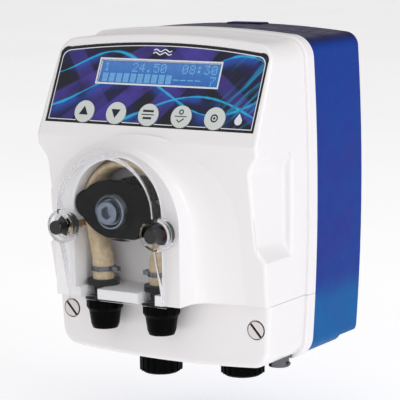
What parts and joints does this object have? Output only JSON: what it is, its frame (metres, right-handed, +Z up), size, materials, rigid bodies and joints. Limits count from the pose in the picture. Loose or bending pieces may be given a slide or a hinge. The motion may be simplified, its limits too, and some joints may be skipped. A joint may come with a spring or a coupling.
{
  "type": "peristaltic pump",
  "caption": "Wall-mounted peristaltic dosing pump with a sloping control panel, clear head cover, squeezed hose, terminal cover and cable glands.",
  "frame": {"origin": "centre of the four wall screws on the bracket's wall face", "axes": "+Z up, +X to the right seen from the front, +Y into the wall"},
  "size_m": [0.1236, 0.123, 0.165],
  "materials": {
    "housing_white": "satin moulded plastic",
    "housing_blue": "satin moulded plastic",
    "black_plastic": "fine matte",
    "clear_plastic": "polished clear plastic",
    "rubber_seal": "matte",
    "hose_elastomer": "satin elastomer",
    "steel": "brushed",
    "steel_core": "laminated core",
    "brass": "turned",
    "board_green": "solder mask",
    "display_blue": "display glass",
    "overlay_print": "printed film",
    "key_grey": "fine matte",
    "gear_white": "acetal"
  },
  "bodies": {
    "wall_bracket": {"wall_bracket": "housing_blue"},
    "housing": {"rear_housing": "housing_blue", "housing_gasket": "rubber_seal", "front_housing": "housing_white", "control_overlay": "overlay_print", "display_window": "clear_plastic", "lcd_screen": "display_blue", "lcd_module": "black_plastic", "control_board": "board_green", "key_switches": "black_plastic", "gland_tray": "housing_white", "terminal_blocks": "key_grey", "gland_body_left": "black_plastic", "gland_body_right": "black_plastic", "probe_socket": "steel", "power_board": "board_green", "board_components": "black_plastic", "transformer": "steel_core", "gearbox_case": "black_plastic", "gearbox_lid": "black_plastic", "gearbox_screws": "steel", "motor": "steel", "front_bush": "brass", "shaft_seal": "rubber_seal", "pump_hose": "hose_elastomer", "hose_clamps": "steel", "hose_connector_left": "black_plastic", "hose_connector_right": "black_plastic", "threaded_inserts": "brass", "housing_screws": "steel"},
    "rotor": {"rotor": "black_plastic", "drive_shaft": "steel", "drive_gear": "gear_white", "roller_pins": "steel", "hub_washer": "steel", "hub_screw": "steel"},
    "roller_left": {"roller_left": "gear_white"},
    "roller_right": {"roller_right": "gear_white"},
    "idler": {"idler_gear": "gear_white"},
    "motor_shaft": {"motor_pinion": "steel"},
    "clear_cover": {"clear_cover": "clear_plastic"},
    "thumb_screw_left": {"thumb_screw_left": "black_plastic"},
    "thumb_screw_right": {"thumb_screw_right": "black_plastic"},
    "terminal_cover": {"terminal_cover": "housing_white"},
    "cover_screw_left": {"cover_screw_left": "housing_white"},
    "cover_screw_right": {"cover_screw_right": "housing_white"},
    "connector_nut_left": {"connector_nut_left": "black_plastic"},
    "connector_nut_right": {"connector_nut_right": "black_plastic"},
    "gland_nut_left": {"gland_nut_left": "black_plastic"},
    "gland_nut_right": {"gland_nut_right": "black_plastic"},
    "key_up": {"key_up": "key_grey"},
    "key_down": {"key_down": "key_grey"},
    "key_menu": {"key_menu": "key_grey"},
    "key_enter": {"key_enter": "key_grey"},
    "key_set": {"key_set": "key_grey"}
  },
  "joints": [
    {"name": "housing_lift", "type": "slide", "parent": "wall_bracket", "child": "housing", "axis": [0, 0, 1], "range_m": [0, 0.0065]},
    {"name": "rotor_spin", "type": "hinge", "parent": "housing", "child": "rotor", "pos_m": [-0.0095, -0.09, -0.005], "axis": [0, -1, 0], "continuous": true},
    {"name": "roller_left_spin", "type": "hinge", "parent": "rotor", "child": "roller_left", "pos_m": [-0.02242, -0.1, -0.00353], "axis": [0, -1, 0], "continuous": true},
    {"name": "roller_right_spin", "type": "hinge", "parent": "rotor", "child": "roller_right", "pos_m": [0.00342, -0.1, -0.00647], "axis": [0, -1, 0], "continuous": true},
    {"name": "idler_spin", "type": "hinge", "parent": "housing", "child": "idler", "pos_m": [0.0085, -0.07, -0.005], "axis": [0, -1, 0], "continuous": true},
    {"name": "motor_spin", "type": "hinge", "parent": "housing", "child": "motor_shaft", "pos_m": [-0.0095, -0.066, -0.005], "axis": [0, -1, 0], "continuous": true},
    {"name": "clear_cover_off", "type": "slide", "parent": "housing", "child": "clear_cover", "axis": [0, -1, 0], "range_m": [0, 0.04]},
    {"name": "terminal_cover_off", "type": "slide", "parent": "housing", "child": "terminal_cover", "axis": [0, 0, -1], "range_m": [0, 0.045]},
    {"name": "thumb_screw_left_turn", "type": "hinge", "parent": "clear_cover", "child": "thumb_screw_left", "pos_m": [-0.0355, -0.118, -0.0132], "axis": [0, -1, 0], "range_deg": [0, 1080]},
    {"name": "thumb_screw_right_turn", "type": "hinge", "parent": "clear_cover", "child": "thumb_screw_right", "pos_m": [0.0165, -0.118, -0.0132], "axis": [0, -1, 0], "range_deg": [0, 1080]},
    {"name": "cover_screw_left_turn", "type": "hinge", "parent": "terminal_cover", "child": "cover_screw_left", "pos_m": [-0.051, -0.09, -0.058], "axis": [0, -1, 0], "range_deg": [0, 1080]},
    {"name": "cover_screw_right_turn", "type": "hinge", "parent": "terminal_cover", "child": "cover_screw_right", "pos_m": [0.051, -0.09, -0.058], "axis": [0, -1, 0], "range_deg": [0, 1080]},
    {"name": "connector_nut_left_turn", "type": "hinge", "parent": "housing", "child": "connector_nut_left", "pos_m": [-0.0253, -0.0992, -0.053], "axis": [0, 0, -1], "range_deg": [0, 1440]},
    {"name": "connector_nut_right_turn", "type": "hinge", "parent": "housing", "child": "connector_nut_right", "pos_m": [0.0063, -0.0992, -0.053], "axis": [0, 0, -1], "range_deg": [0, 1440]},
    {"name": "gland_nut_left_turn", "type": "hinge", "parent": "housing", "child": "gland_nut_left", "pos_m": [-0.0173, -0.065, -0.083], "axis": [0, 0, -1], "range_deg": [0, 1440]},
    {"name": "gland_nut_right_turn", "type": "hinge", "parent": "housing", "child": "gland_nut_right", "pos_m": [0.0286, -0.065, -0.083], "axis": [0, 0, -1], "range_deg": [0, 1440]},
    {"name": "key_up_press", "type": "slide", "parent": "housing", "child": "key_up", "axis": [0, 0.9092, -0.4163], "range_m": [0, 0.0005], "stiffness_N_per_m": 600, "springref_m": -0.0005},
    {"name": "key_down_press", "type": "slide", "parent": "housing", "child": "key_down", "axis": [0, 0.9092, -0.4163], "range_m": [0, 0.0005], "stiffness_N_per_m": 600, "springref_m": -0.0005},
    {"name": "key_menu_press", "type": "slide", "parent": "housing", "child": "key_menu", "axis": [0, 0.9092, -0.4163], "range_m": [0, 0.0005], "stiffness_N_per_m": 600, "springref_m": -0.0005},
    {"name": "key_enter_press", "type": "slide", "parent": "housing", "child": "key_enter", "axis": [0, 0.9092, -0.4163], "range_m": [0, 0.0005], "stiffness_N_per_m": 600, "springref_m": -0.0005},
    {"name": "key_set_press", "type": "slide", "parent": "housing", "child": "key_set", "axis": [0, 0.9092, -0.4163], "range_m": [0, 0.0005], "stiffness_N_per_m": 600, "springref_m": -0.0005}
  ],
  "couplings": [
    {"joint": "roller_left_spin", "follows": "rotor_spin", "ratio": -3.6},
    {"joint": "roller_right_spin", "follows": "rotor_spin", "ratio": -3.6},
    {"joint": "idler_spin", "follows": "rotor_spin", "ratio": -4},
    {"joint": "motor_spin", "follows": "rotor_spin", "ratio": 16}
  ]
}
